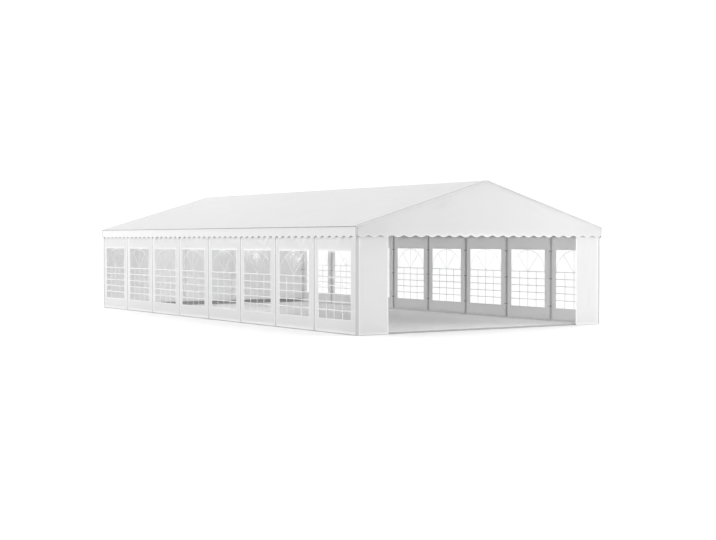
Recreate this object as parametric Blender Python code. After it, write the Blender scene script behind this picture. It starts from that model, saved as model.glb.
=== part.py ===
"""Marquee tent: eight bays of 2 m, 8 m across, with a steel tube frame and PVC covers.

Metres, +Z up, origin on the ground at the middle. X is the width and Y the length, and the open gable
faces -Y. Nine portal frames stand on foot plates, each in two halves that meet at the ridge. Continuous
rails run through sleeves on the frames, the roof cover lies over them, and the walls hang from the eave rails
outside the posts.
"""

import math

import bmesh
import bpy
from mathutils import Matrix, Vector

# Driving dimensions
BAY = 2.0
BAYS = 8
SPAN = 8.0
RIDGE_TOP = 3.90
EAVE_TOP = 2.69
ROOF_OVERHANG = 0.09

# Steel
POST_RADIUS = 0.025
RAFTER_RADIUS = 0.024
RAIL_RADIUS = 0.021
GROUND_BAR_RADIUS = 0.019
SLEEVE_RADIUS = 0.0275
SLEEVE_HALF_LENGTH = 0.08
TUBE_SIDES = 12
FOOT_SIZE = 0.15
FOOT_THICKNESS = 0.006
PEG_HOLE_RADIUS = 0.007
PEG_HOLE_OUT = 0.052
PEG_HOLE_ASIDE = 0.048
PEG_HOLE_SIDES = 8
GABLE_POST_X = 0.95
GABLE_BEAM_DROP = 0.06

# Cloth and film
COVER_THICKNESS = 0.005
SHEET_THICKNESS = 0.004
FILM_THICKNESS = 0.0015
VALANCE_INSET = 0.02
WALL_BOTTOM = 0.012
WALL_TOP = 2.69
WALL_GAP = 0.035
VALANCE_NOTCH = 2.47
VALANCE_TIP = 2.40
SIDE_SCALLOPS = 48
GABLE_SCALLOPS = 24
SCALLOP_STEPS = 4
FRONT_OPENING = 6.26
WINDOW_WIDTH = 1.50
WINDOW_BOTTOM = 0.37
WINDOW_TOP = 2.06
FILM_MARGIN = 0.04

# The gap that touching pieces keep
SEAT = 0.0003

# Sizes worked out from the driving ones
HALF_SPAN = SPAN / 2
HALF_LENGTH = BAY * BAYS / 2
ROOF_X = HALF_SPAN + ROOF_OVERHANG
ROOF_Y = HALF_LENGTH + ROOF_OVERHANG
PITCH = (RIDGE_TOP - EAVE_TOP) / ROOF_X
SLOPE = math.atan(PITCH)
COVER_DROP = COVER_THICKNESS / math.cos(SLOPE)

# How far a sleeve's corners reach towards the cover: its nearest corner lies a little off the roof's normal
TURN = 2 * math.pi / TUBE_SIDES
OFF_CORNER = (math.pi / 2 - SLOPE) % TURN
SLEEVE_REACH = SLEEVE_RADIUS * math.cos(min(OFF_CORNER, TURN - OFF_CORNER))
RAFTER_DROP = (COVER_THICKNESS + SEAT + SLEEVE_REACH) / math.cos(SLOPE)
RIDGE_Z = RIDGE_TOP - RAFTER_DROP
EAVE_Z = RIDGE_Z - HALF_SPAN * PITCH
PURLIN_X = HALF_SPAN / 2
PURLIN_Z = RIDGE_Z - PURLIN_X * PITCH
GABLE_BEAM_Z = EAVE_Z - GABLE_BEAM_DROP

# The layers outside the posts: film against the posts, then panels against the sleeves, then the valance
FILM_INNER = HALF_SPAN + POST_RADIUS + SEAT
PANEL_INNER = HALF_SPAN + SLEEVE_RADIUS + SEAT
PANEL_OUTER = PANEL_INNER + SHEET_THICKNESS
VALANCE_OUTER = ROOF_X - VALANCE_INSET
VALANCE_INNER = VALANCE_OUTER - SHEET_THICKNESS
END_SHIFT = HALF_LENGTH - HALF_SPAN

GROUND_BAR_IN = POST_RADIUS + GROUND_BAR_RADIUS + 2 * SEAT
GROUND_BAR_Z = FOOT_THICKNESS + SEAT + GROUND_BAR_RADIUS

X_AXIS = Vector((1, 0, 0))
Y_AXIS = Vector((0, 1, 0))


def clear_scene():
    """Remove every object, so the script gives the same result each run."""
    for thing in list(bpy.data.objects):
        bpy.data.objects.remove(thing, do_unlink=True)


def finish(name, colour, roughness, metallic=0.0):
    """One Principled BSDF material."""
    material = bpy.data.materials.new(name)
    material.use_nodes = True
    shader = material.node_tree.nodes["Principled BSDF"]
    shader.inputs["Base Color"].default_value = (*colour, 1.0)
    shader.inputs["Roughness"].default_value = roughness
    shader.inputs["Metallic"].default_value = metallic
    material.diffuse_color = (*colour, 1.0)
    return material


def put(name, mesh, material, y=0.0):
    """A new object with that mesh and material, moved along the tent."""
    thing = bpy.data.objects.new(name, mesh)
    thing.location = (0, y, 0)
    if not mesh.materials:
        mesh.materials.append(material)
    bpy.context.scene.collection.objects.link(thing)
    return thing


def mesh_of(name, shape):
    """A mesh from a closed bmesh, with its faces turned outwards."""
    bmesh.ops.recalc_face_normals(shape, faces=shape.faces)
    mesh = bpy.data.meshes.new(name)
    shape.to_mesh(mesh)
    shape.free()
    return mesh


def tube(start, end, radius, towards, sides=TUBE_SIDES):
    """A round bar between two points, with one corner of its section pointing towards a direction."""
    start = Vector(start)
    end = Vector(end)
    axis = (end - start).normalized()
    across = axis.cross(towards)
    turn = Matrix((towards, across, axis)).transposed().to_4x4()
    shape = bmesh.new()
    bmesh.ops.create_cone(
        shape,
        cap_ends=True,
        segments=sides,
        radius1=radius,
        radius2=radius,
        depth=(end - start).length,
        matrix=Matrix.Translation((start + end) / 2) @ turn,
    )
    return mesh_of("tube", shape)


def box(low, high):
    """A block between two corners."""
    size = Vector(high) - Vector(low)
    middle = (Vector(high) + Vector(low)) / 2
    shape = bmesh.new()
    bmesh.ops.create_cube(shape, matrix=Matrix.Translation(middle) @ Matrix.Diagonal((*size, 1)))
    return mesh_of("box", shape)


def combined(name, solids, cuts):
    """One mesh: the union of the solids, less the cuts, by exact Boolean modifiers."""
    helpers = [put("helper", mesh, STEEL) for mesh in solids + cuts]
    base = helpers[0]
    for index, other in enumerate(helpers[1:], start=1):
        step = base.modifiers.new("Join" if index < len(solids) else "Cut", "BOOLEAN")
        step.operation = "UNION" if index < len(solids) else "DIFFERENCE"
        step.object = other
    seen = base.evaluated_get(bpy.context.evaluated_depsgraph_get())
    mesh = bpy.data.meshes.new_from_object(seen)
    mesh.name = name
    for helper in helpers:
        bpy.data.objects.remove(helper, do_unlink=True)
    return mesh


def along_side(u, v, depth):
    """A point of a side sheet: u along the tent, v up."""
    return (depth, u, v)


def along_end(u, v, depth):
    """A point of a gable sheet: u across the tent, v up."""
    return (u, depth, v)


def slab(name, faces, place, near, far):
    """A flat sheet with thickness: polygons in (u, v), which share corners, and a rim along their free edges."""
    shape = bmesh.new()
    points = sorted({point for face in faces for point in face})
    corners = {
        (point, depth): shape.verts.new(place(*point, depth))
        for depth in (near, far)
        for point in points
    }
    edges = [
        (face[k], face[(k + 1) % len(face)])
        for face in faces
        for k in range(len(face))
    ]
    for depth in (near, far):
        for face in faces:
            shape.faces.new([corners[point, depth] for point in face])
    for a, b in edges:
        if (b, a) not in edges:
            shape.faces.new([corners[a, near], corners[b, near], corners[b, far], corners[a, far]])
    return mesh_of(name, shape)


def rectangle(left, right, bottom, top):
    """A plain rectangle, as the list of faces that slab takes."""
    return [[(left, bottom), (right, bottom), (right, top), (left, top)]]


def windowed(left, right, middle):
    """Four faces round a window opening, as the list of faces that slab takes."""
    outer = rectangle(left, right, WALL_BOTTOM, WALL_TOP)[0]
    half = WINDOW_WIDTH / 2
    inner = rectangle(middle - half, middle + half, WINDOW_BOTTOM, WINDOW_TOP)[0]
    return [
        [outer[k], outer[(k + 1) % 4], inner[(k + 1) % 4], inner[k]]
        for k in range(4)
    ]


def scalloped(half, count, top):
    """Faces of a sheet from a top line down to rounded lobes that meet in notches."""
    pitch = 2 * half / count
    faces = []
    for lobe in range(count):
        arc = []
        for step in range(SCALLOP_STEPS + 1):
            u = -half + pitch * (lobe + step / SCALLOP_STEPS)
            dip = math.sin(math.pi * step / SCALLOP_STEPS) * (VALANCE_NOTCH - VALANCE_TIP)
            arc.append((round(u, 6), round(VALANCE_NOTCH - dip, 6)))
        ends = [(arc[-1][0], top(arc[-1][0])), (arc[0][0], top(arc[0][0]))]
        faces.append(arc + ends)
    return faces


def under_cover(x):
    """The height just under the roof cover at x."""
    return round(RIDGE_TOP - abs(x) * PITCH - COVER_DROP - SEAT, 6)


def add_post(x, top, hole_spots, solids, cuts):
    """A post up to that height on a foot plate, with a peg hole at each offset from the post."""
    half = FOOT_SIZE / 2
    solids.append(tube((x, 0, FOOT_THICKNESS / 2), (x, 0, top), POST_RADIUS, X_AXIS))
    solids.append(box((x - half, -half, 0), (x + half, half, FOOT_THICKNESS)))
    for dx, dy in hole_spots:
        low = (x + dx, dy, -FOOT_THICKNESS)
        high = (x + dx, dy, 2 * FOOT_THICKNESS)
        cuts.append(tube(low, high, PEG_HOLE_RADIUS, X_AXIS, PEG_HOLE_SIDES))


def half_frame(name, side, back, front):
    """A post and a rafter at y = 0, with a sleeve for each rail that reaches back and front.

    The left half holds the ridge sleeve, and the right half's rafter ends against it. The sleeves come first,
    so that the tubes that meet on one line are joined inside them.
    """
    solids = []
    cuts = []
    bore = RAIL_RADIUS + SEAT
    through = 2 * SLEEVE_HALF_LENGTH
    for x, z in RAIL_LINES.values():
        if x * side > 0 or (x == 0 and side < 0):
            solids.append(tube((x, -front, z), (x, back, z), SLEEVE_RADIUS, X_AXIS))
            cuts.append(tube((x, -through, z), (x, through, z), bore, X_AXIS))
    slope = Vector((side * HALF_SPAN, 0, EAVE_Z - RIDGE_Z)).normalized()
    eave = (side * HALF_SPAN, 0, EAVE_Z)
    solids.append(tube(eave, (0, 0, RIDGE_Z), RAFTER_RADIUS, slope.cross(Y_AXIS)))
    if side > 0:
        reach = SLEEVE_RADIUS + SEAT
        cuts.append(box((-reach, -reach, RIDGE_Z - 2 * reach), (reach, reach, RIDGE_Z + 2 * reach)))
    spots = [(side * PEG_HOLE_OUT, -PEG_HOLE_ASIDE), (side * PEG_HOLE_OUT, PEG_HOLE_ASIDE)]
    add_post(side * HALF_SPAN, EAVE_Z, spots, solids, cuts)
    return combined(name, solids, cuts)


def make_frames():
    """Nine portal frames in halves: at the two ends the sleeves stop short outside, under the gable sheets."""
    for name, side in (("left", -1), ("right", 1)):
        front_mesh = half_frame("front_half", side, SLEEVE_HALF_LENGTH, SLEEVE_RADIUS)
        inner_mesh = half_frame("inner_half", side, SLEEVE_HALF_LENGTH, SLEEVE_HALF_LENGTH)
        back_mesh = half_frame("back_half", side, SLEEVE_RADIUS, SLEEVE_HALF_LENGTH)
        for number in range(BAYS + 1):
            mesh = front_mesh if number == 0 else back_mesh if number == BAYS else inner_mesh
            put(f"frame_{number + 1}_{name}", mesh, STEEL, number * BAY - HALF_LENGTH)


def make_gable_frames():
    """A cross tube between the corner posts at each end, and two door posts that carry the back one."""
    reach = HALF_SPAN - POST_RADIUS - SEAT
    for name, side in (("front", -1), ("back", 1)):
        mesh = tube((-reach, 0, GABLE_BEAM_Z), (reach, 0, GABLE_BEAM_Z), RAIL_RADIUS, Y_AXIS)
        put(f"gable_beam_{name}", mesh, STEEL, side * HALF_LENGTH)
    spots = [(-PEG_HOLE_ASIDE, PEG_HOLE_OUT), (PEG_HOLE_ASIDE, PEG_HOLE_OUT)]
    half = SLEEVE_HALF_LENGTH
    bore = RAIL_RADIUS + SEAT
    for name, x in (("left", -GABLE_POST_X), ("right", GABLE_POST_X)):
        solids = [tube((x - half, 0, GABLE_BEAM_Z), (x + half, 0, GABLE_BEAM_Z), SLEEVE_RADIUS, Y_AXIS)]
        cuts = [tube((x - 2 * half, 0, GABLE_BEAM_Z), (x + 2 * half, 0, GABLE_BEAM_Z), bore, Y_AXIS)]
        add_post(x, GABLE_BEAM_Z, spots, solids, cuts)
        put(f"gable_post_{name}", combined("gable_post", solids, cuts), STEEL, HALF_LENGTH)


def make_rails():
    """The eave rails, purlins and ridge rail, each in one run through the sleeves."""
    end = HALF_LENGTH + RAIL_RADIUS
    for name, (x, z) in RAIL_LINES.items():
        put(name, tube((x, -end, z), (x, end, z), RAIL_RADIUS, X_AXIS), STEEL)


def make_ground_bars():
    """Bars that lie on the foot plates just inside the posts, round all four sides."""
    side_x = HALF_SPAN - GROUND_BAR_IN
    end_y = HALF_LENGTH - GROUND_BAR_IN
    side_reach = end_y + GROUND_BAR_RADIUS
    end_reach = side_x - GROUND_BAR_RADIUS - 2 * SEAT
    z = GROUND_BAR_Z
    for name, side in (("left", -1), ("right", 1)):
        start = (side * side_x, -side_reach, z)
        mesh = tube(start, (side * side_x, side_reach, z), GROUND_BAR_RADIUS, X_AXIS)
        put(f"ground_bar_{name}", mesh, STEEL)
    for name, side in (("front", -1), ("back", 1)):
        start = (-end_reach, side * end_y, z)
        mesh = tube(start, (end_reach, side * end_y, z), GROUND_BAR_RADIUS, Y_AXIS)
        put(f"ground_bar_{name}", mesh, STEEL)


def make_roof():
    """The roof cover: two slopes that meet at the ridge, in one sheet."""
    top = [(-ROOF_X, EAVE_TOP), (0, RIDGE_TOP), (ROOF_X, EAVE_TOP)]
    under = [(x, z - COVER_DROP) for x, z in top]
    faces = [
        [under[k], under[k + 1], top[k + 1], top[k]]
        for k in range(2)
    ]
    put("roof_cover", slab("roof_cover", faces, along_end, -ROOF_Y, ROOF_Y), PVC)


def make_gables_and_valances():
    """The gable sheets under the ends of the cover, and the valances under its eaves, all scalloped."""
    inner = VALANCE_INNER + END_SHIFT
    outer = VALANCE_OUTER + END_SHIFT
    faces = scalloped(VALANCE_OUTER, GABLE_SCALLOPS, under_cover)
    for name, side in (("front", -1), ("back", 1)):
        mesh = slab("gable", faces, along_end, side * inner, side * outer)
        put(f"gable_{name}", mesh, PVC)
    height = under_cover(VALANCE_OUTER)
    faces = scalloped(inner - SEAT, SIDE_SCALLOPS, lambda u: height)
    for name, side in (("left", -1), ("right", 1)):
        mesh = slab("valance", faces, along_side, side * VALANCE_INNER, side * VALANCE_OUTER)
        put(f"valance_{name}", mesh, PVC)


def make_side_walls():
    """One windowed panel for each bay, with a narrow gap at each post, and the window film behind."""
    for name, side in (("left", -1), ("right", 1)):
        for number in range(BAYS):
            start = number * BAY - HALF_LENGTH
            left = start + WALL_GAP / 2
            right = start + BAY - WALL_GAP / 2
            faces = windowed(left, right, start + BAY / 2)
            mesh = slab("wall", faces, along_side, side * PANEL_INNER, side * PANEL_OUTER)
            put(f"wall_{name}_{number + 1}", mesh, PVC)
        reach = HALF_LENGTH - WALL_GAP
        faces = rectangle(-reach, reach, WINDOW_BOTTOM - FILM_MARGIN, WINDOW_TOP + FILM_MARGIN)
        outer = FILM_INNER + FILM_THICKNESS
        mesh = slab("film", faces, along_side, side * FILM_INNER, side * outer)
        put(f"window_film_{name}", mesh, FILM)


def make_end_walls():
    """Corner panels beside the open front, and a closed back with a zipped door between the gable posts."""
    inner = PANEL_INNER + END_SHIFT
    outer = PANEL_OUTER + END_SHIFT
    corner = HALF_SPAN - WALL_GAP / 2
    split = GABLE_POST_X + WALL_GAP / 2
    door = GABLE_POST_X - WALL_GAP / 2
    panels = (
        ("front_corner_left", -1, -corner, -FRONT_OPENING / 2),
        ("front_corner_right", -1, FRONT_OPENING / 2, corner),
        ("back_wall_left", 1, -corner, -split),
        ("back_wall_right", 1, split, corner),
        ("back_door_curtain", 1, -door, door),
    )
    for name, side, left, right in panels:
        faces = rectangle(left, right, WALL_BOTTOM, WALL_TOP)
        put(name, slab(name, faces, along_end, side * inner, side * outer), PVC)


RAIL_LINES = {
    "eave_rail_left": (-HALF_SPAN, EAVE_Z),
    "eave_rail_right": (HALF_SPAN, EAVE_Z),
    "purlin_left": (-PURLIN_X, PURLIN_Z),
    "purlin_right": (PURLIN_X, PURLIN_Z),
    "ridge_rail": (0, RIDGE_Z),
}

clear_scene()
STEEL = finish("galvanised_steel", (0.52, 0.53, 0.54), 0.42, 0.85)
PVC = finish("white_pvc", (0.88, 0.88, 0.88), 0.5)
FILM = finish("clear_film", (0.82, 0.84, 0.85), 0.12)
make_frames()
make_gable_frames()
make_rails()
make_ground_bars()
make_roof()
make_gables_and_valances()
make_side_walls()
make_end_walls()
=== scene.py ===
"""Marquee tent: cloth, windows, fixings and finishes round a packed steel frame, and the stage it stands on.

Metres, +Z up. The ridge runs along Y and the open gable faces -Y. Each sheet is a grid worked out with numpy:
a flat cut, a relief of folds and swells, and a thickness that steps up at hems, welds and bindings.
"""

import bpy
import numpy as np
from bpy.props import FloatProperty, FloatVectorProperty, IntProperty, PointerProperty
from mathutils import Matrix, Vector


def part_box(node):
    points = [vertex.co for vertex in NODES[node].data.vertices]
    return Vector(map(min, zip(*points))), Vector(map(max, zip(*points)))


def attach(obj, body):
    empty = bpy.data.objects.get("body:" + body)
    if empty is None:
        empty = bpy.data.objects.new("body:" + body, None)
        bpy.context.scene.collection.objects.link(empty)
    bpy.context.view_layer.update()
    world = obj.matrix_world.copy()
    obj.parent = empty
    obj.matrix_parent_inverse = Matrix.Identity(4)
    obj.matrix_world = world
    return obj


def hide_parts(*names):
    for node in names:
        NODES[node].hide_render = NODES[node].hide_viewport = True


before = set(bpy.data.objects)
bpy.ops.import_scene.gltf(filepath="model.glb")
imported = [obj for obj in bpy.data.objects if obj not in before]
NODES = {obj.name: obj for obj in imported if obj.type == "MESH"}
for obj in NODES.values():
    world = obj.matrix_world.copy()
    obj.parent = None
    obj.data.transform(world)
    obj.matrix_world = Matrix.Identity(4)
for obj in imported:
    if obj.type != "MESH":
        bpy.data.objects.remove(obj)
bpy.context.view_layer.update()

bl_info = {
    "name": "Marquee tent",
    "version": (1, 0, 0),
    "blender": (4, 5, 0),
    "location": "View3D > Sidebar > Marquee",
    "description": "Cloth, windows, fixings and finishes round a packed tent frame",
    "category": "Add Mesh",
}

TAU = 2 * np.pi


def middle(node, axis):
    """How far the middle of a CAD node lies from the tent's middle, along one axis."""
    low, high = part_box(node)
    return abs(low[axis] + high[axis]) / 2


# Where the frame is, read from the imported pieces
RIDGE_LOW, RIDGE_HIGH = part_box("ridge_rail")
RAIL_RADIUS = (RIDGE_HIGH.x - RIDGE_LOW.x) / 2
HALF_LENGTH = RIDGE_HIGH.y - RAIL_RADIUS
HALF_SPAN = middle("eave_rail_right", 0)
EAVE_Z = middle("eave_rail_right", 2)
RIDGE_Z = middle("ridge_rail", 2)
PURLIN_X = middle("purlin_right", 0)
PURLIN_Z = middle("purlin_right", 2)
BEAM_Z = middle("gable_beam_back", 2)
POST_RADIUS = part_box("gable_post_left")[1].z - BEAM_Z
PITCH = (RIDGE_Z - EAVE_Z) / HALF_SPAN
SLOPE = np.hypot(1, PITCH)
BAYS = sum(name.startswith("wall_left_") for name in NODES)
BAY = 2 * HALF_LENGTH / BAYS
POST_LINES = np.linspace(-HALF_LENGTH, HALF_LENGTH, BAYS + 1)
RAILS = ((0, RIDGE_Z), (-PURLIN_X, PURLIN_Z), (PURLIN_X, PURLIN_Z), (-HALF_SPAN, EAVE_Z), (HALF_SPAN, EAVE_Z))

# Where the cloth is: the roof cover's box, the planes of walls and valances, and their heights
COVER_LOW, COVER_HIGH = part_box("roof_cover")
ROOF_X, ROOF_Y, RIDGE_TOP = COVER_HIGH
EAVE_TOP = RIDGE_TOP - PITCH * ROOF_X
COVER_DROP = EAVE_TOP - COVER_LOW.z
WALL_X = middle("wall_left_1", 0)
END_Y = middle("front_corner_left", 1)
VALANCE_X = middle("valance_left", 0)
GABLE_Y = middle("gable_front", 1)
WALL_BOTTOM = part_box("wall_left_1")[0].z
VALANCE_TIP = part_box("valance_left")[0].z
VALANCE_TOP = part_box("valance_left")[1].z

# Thicknesses of the window film, the ink on it, the tapes and strips, and the webbing, and its width
FILM = 0.0006
INK = 0.0002
TAPE = 0.001
WEBBING = 0.0012
WEBBING_WIDTH = 0.025

# The threads of the cloth's scrim repeat after this far
WEAVE = 0.0024

# The film's middle lies this far inside the cloth's, and the heading tape's this far outside it
FILM_INSET = 0.0016
TAPE_LIFT = 0.0016

# Double cloth is this much thicker, its step is this wide, and the cover bends over the ridge this near to it
DOUBLE = 0.85
FOOT = 0.0015
RIDGE_ROUNDING = 0.02

# The back and side panels end this much above the foot of the CAD ones. The gap between two side panels lies
# a little in front of the post line, between these two distances
FOOT_GAP = 0.010
GAP_FRONT = 0.048
GAP_BACK = 0.008

# Folds as the place where they start, where they end, how wide and how high they are. On the roof the two
# numbers of a place are how far it lies from the ridge and from the last frame
ROOF_FOLDS = (
    ((0.60, 0.00), (2.30, 3.00), 0.035, 0.022),
    ((0.10, 0.40), (1.30, 3.00), 0.030, 0.017),
    ((0.05, 1.20), (0.55, 3.60), 0.030, 0.012),
    ((1.55, 2.00), (2.45, 3.80), 0.035, 0.015),
    ((1.45, 0.10), (2.70, 1.80), 0.040, 0.013),
)
GABLE_FOLDS = (
    ((-1.90, 2.92), (-0.75, 3.60), 0.075, 0.036),
    ((1.00, 3.58), (2.10, 2.99), 0.065, 0.020),
    ((2.45, 3.11), (3.20, 2.81), 0.050, 0.014),
)
CORNER_FOLDS_LEFT = (
    ((-3.58, 2.04), (-3.10, 1.84), 0.06, 0.006),
    ((-3.37, 1.75), (-3.30, 1.00), 0.07, 0.006),
    ((-3.76, 1.05), (-3.68, 0.50), 0.08, 0.006),
    ((-3.86, 1.60), (-3.80, 0.80), 0.08, -0.005),
)
CORNER_FOLDS_RIGHT = (
    ((3.84, 2.35), (3.82, 0.70), 0.022, 0.006),
    ((3.56, 2.36), (3.40, 1.70), 0.060, 0.006),
    ((3.42, 1.85), (3.66, 1.40), 0.050, 0.005),
    ((3.60, 1.05), (3.48, 0.45), 0.060, -0.005),
    ((3.74, 1.00), (3.66, 0.45), 0.040, 0.006),
)
SLACK_BAYS = (2, 3)


def metres(name, description, default):
    """A length that a user can change."""
    return FloatProperty(name=name, description=description, default=default, unit="LENGTH")


def watts(name, description, default):
    """The power of a lamp."""
    return FloatProperty(name=name, description=description, default=default, unit="POWER")


def degrees(name, description, default):
    """An angle, with its default in degrees."""
    return FloatProperty(name=name, description=description, default=np.radians(default), subtype="ANGLE")


def factor(name, description, default):
    """A share of something, from 0 to 1."""
    return FloatProperty(name=name, description=description, default=default, subtype="FACTOR")


def tint(name, description, default):
    """A colour."""
    return FloatVectorProperty(name=name, description=description, default=default, subtype="COLOR")


class MarqueeSizes(bpy.types.PropertyGroup):
    """Sizes of the cloth and of what is printed and welded on it."""

    cloth: metres("Cloth", "Thickness of the coated cloth", 0.0011)
    hem: metres("Hem", "Width of the welded hems", 0.045)
    lobes: IntProperty(name="Lobes", description="Scallops of the side valances in one bay", default=6)
    gable_lobes: IntProperty(
        name="Gable lobes", description="Scallops along the foot of a gable sheet, an odd number", default=23
    )
    scallop: metres("Scallop", "Height of the valance's rounded lobes", 0.055)
    window_width: metres("Window width", "Width of each window", 1.51)
    window_bottom: metres("Window bottom", "Height of the windows' lower edge", 0.37)
    window_top: metres("Window top", "Height of the windows' upper edge", 2.06)
    spring: metres("Arch spring", "Height at which the printed arch starts", 1.41)
    bar: metres("Bar", "Width of the printed cross bars", 0.022)
    fine_bar: metres("Fine bar", "Width of the printed upright bars", 0.024)
    ray: metres("Ray", "Width of the printed arch and of the rays in it", 0.013)
    bar_step: metres("Bar step", "Height from one printed cross bar to the next", 0.205)
    # The eave welt's grey is painted shade under the roof's edge.
    bead: metres("Bead", "Radius of the welt along the eaves", 0.009)
    # The edge tape's grey is painted shade where the roof's edge meets the gable.
    edge_shade_tape: metres("Edge tape", "Width of the grey tape along the roof's edge over the open gable", 0.075)
    # The dark strip at the back wall's foot is painted shade.
    skirt: metres("Skirt", "Height of the dark strip along the foot of the back wall", 0.14)
    opening_left: metres("Opening left", "How far the open gable reaches to the left of the middle", 3.092)
    opening_right: metres("Opening right", "How far the open gable reaches to the right of the middle", 3.15)


class MarqueeFinishes(bpy.types.PropertyGroup):
    """Colours of the marquee's materials."""

    wall: tint("Wall", "White of the coated cloth of the walls and gables", (0.85, 0.85, 0.85))
    roof: tint("Roof", "White of the thicker cloth of the roof and valances", (0.765, 0.765, 0.765))
    wall_glow: factor("Wall glow", "Share of the light that goes through the walls' cloth", 0.44)
    roof_glow: factor("Roof glow", "Share of the light that goes through the roof and valances", 0.155)
    film: tint("Film", "Tint of the clear window film", (0.90, 0.90, 0.90))
    steel: tint("Steel", "Grey of the galvanised tubes", (0.84, 0.84, 0.85))
    # Grey of painted shade under the eaves and along the roof's front edge; the zip teeth share it as their
    # own colour.
    welt: tint("Welt", "Grey of the welt along the eaves and of the roof's edge tape", (0.38, 0.38, 0.38))
    # Grey of painted shade: the heading tapes behind the valance's notches, and the corner flaps.
    tape: tint("Tape", "Pale grey of the corner flaps and of the heading tapes", (0.52, 0.52, 0.52))


class MarqueeStage(bpy.types.PropertyGroup):
    """Light, floor and camera."""

    sky: FloatProperty(name="Sky", description="Strength of the even light from all round", default=1.08)
    floor_glow: FloatProperty(name="Floor glow", description="Light that the floor gives off", default=0.02)
    key: watts("Key lamp", "Power of the large lamp to the right of the open gable", 540.0)
    fill: watts("Fill lamp", "Power of the lamp behind the far left corner, which the films reflect", 1100.0)
    top: watts("Top lamp", "Power of the wide lamp above the roof", 260.0)
    back: watts("Back lamp", "Power of the lamp behind the tent, which lights the far end of the roof", 52.0)
    inner: watts("Inner lamp", "Power of the long lamp in the tent, which lights the right wall", 42.0)
    eye: FloatVectorProperty(
        name="Camera", description="Where the camera stands", default=(-21.338, -34.489, 2.342), unit="LENGTH"
    )
    heading: degrees("Heading", "How far the camera turns from +Y towards +X", 33.24)
    tilt: degrees("Tilt", "How far the camera looks down", 1.322)
    lens: FloatProperty(
        name="Lens", description="Focal length on a 36 mm sensor", default=65.2, subtype="DISTANCE_CAMERA"
    )


class Number:
    """A number that varies over a surface: Python's operators on it add Math nodes."""

    def __init__(self, finish, socket):
        self.finish = finish
        self.socket = socket

    def _math(self, operation, first, second):
        return self.finish.number("ShaderNodeMath", {0: first, 1: second}, operation=operation)

    def __add__(self, other):
        return self._math("ADD", self, other)

    def __sub__(self, other):
        return self._math("SUBTRACT", self, other)

    def __rsub__(self, other):
        return self._math("SUBTRACT", other, self)

    def __mul__(self, other):
        return self._math("MULTIPLY", self, other)

    def __pow__(self, other):
        return self._math("POWER", self, other)

    def __rpow__(self, other):
        return self._math("POWER", other, self)

    __radd__ = __add__
    __rmul__ = __mul__


class Finish:
    """A material that is built up node by node round one Principled BSDF."""

    def __init__(self, name, **constants):
        self.material = bpy.data.materials.new(name)
        self.material.use_nodes = True
        self.tree = self.material.node_tree
        self.shader = self.tree.nodes["Principled BSDF"]
        self.output = self.tree.nodes["Material Output"]
        for socket, value in constants.items():
            self.shader.inputs[socket.replace("_", " ")].default_value = value

    def node(self, kind, inputs, **settings):
        """A new node, with its settings and with a value or a link for each socket in inputs."""
        made = self.tree.nodes.new(kind)
        for name, value in settings.items():
            setattr(made, name, value)
        for key, value in inputs.items():
            self.feed(made.inputs[key], value)
        return made

    def feed(self, socket, value):
        """Puts a Number, another node's socket or a plain value into a socket."""
        if isinstance(value, Number):
            value = value.socket
        if isinstance(value, bpy.types.NodeSocket):
            self.tree.links.new(value, socket)
        else:
            socket.default_value = value

    def number(self, kind, inputs, output=0, **settings):
        """A new node's output, as a Number."""
        return Number(self, self.node(kind, inputs, **settings).outputs[output])

    def set(self, **varying):
        """Feeds what varies into the shader's own sockets."""
        for socket, value in varying.items():
            self.feed(self.shader.inputs[socket.replace("_", " ")], value)

    def mix(self, share, other):
        """Puts a mix of the Principled BSDF and another shader into the output."""
        mixer = self.node("ShaderNodeMixShader", {0: share, 1: self.shader.outputs[0], 2: other.outputs[0]})
        self.feed(self.output.inputs["Surface"], mixer.outputs[0])

    def cut(self):
        """Where a point lies on the flat cut of its sheet, in metres."""
        return self.node("ShaderNodeUVMap", {}, uv_map="cut").outputs[0]

    def place(self):
        """Where a point lies on the tent, in metres."""
        return self.node("ShaderNodeTexCoord", {}).outputs["Object"]

    def noise(self, where, scale, detail=2.0):
        """Soft noise from 0 to 1 that has about that many patches in a metre."""
        return self.number("ShaderNodeTexNoise", {"Vector": where, "Scale": scale, "Detail": detail}, "Fac")

    def blend(self, mask, first, second):
        """A colour that goes from the first to the second as the mask goes from 0 to 1."""
        ends = [end if isinstance(end, bpy.types.NodeSocket) else (*end, 1) for end in (first, second)]
        return self.node("ShaderNodeMix", {0: mask, 6: ends[0], 7: ends[1]}, data_type="RGBA").outputs[2]

    def bump(self, height, strength, distance, normal=None):
        """A normal from a height that goes from 0 to 1."""
        inputs = {"Height": height, "Strength": strength, "Distance": distance}
        if normal is not None:
            inputs["Normal"] = normal
        return self.node("ShaderNodeBump", inputs).outputs[0]


def shaded(colour, share):
    """A darker or a paler colour."""
    return tuple(min(1.0, share * channel) for channel in colour)


def weave(finish, where):
    """The height of a plain weave: threads each way, as squared sines of the cut's two positions."""
    split = finish.node("ShaderNodeSeparateXYZ", {0: where})
    turns = TAU / WEAVE
    height = 0.0
    for axis in (0, 1):
        along = Number(finish, split.outputs[axis]) * turns
        height = finish.number("ShaderNodeMath", {0: along}, operation="SINE") ** 2.0 * 0.5 + height
    return height


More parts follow.
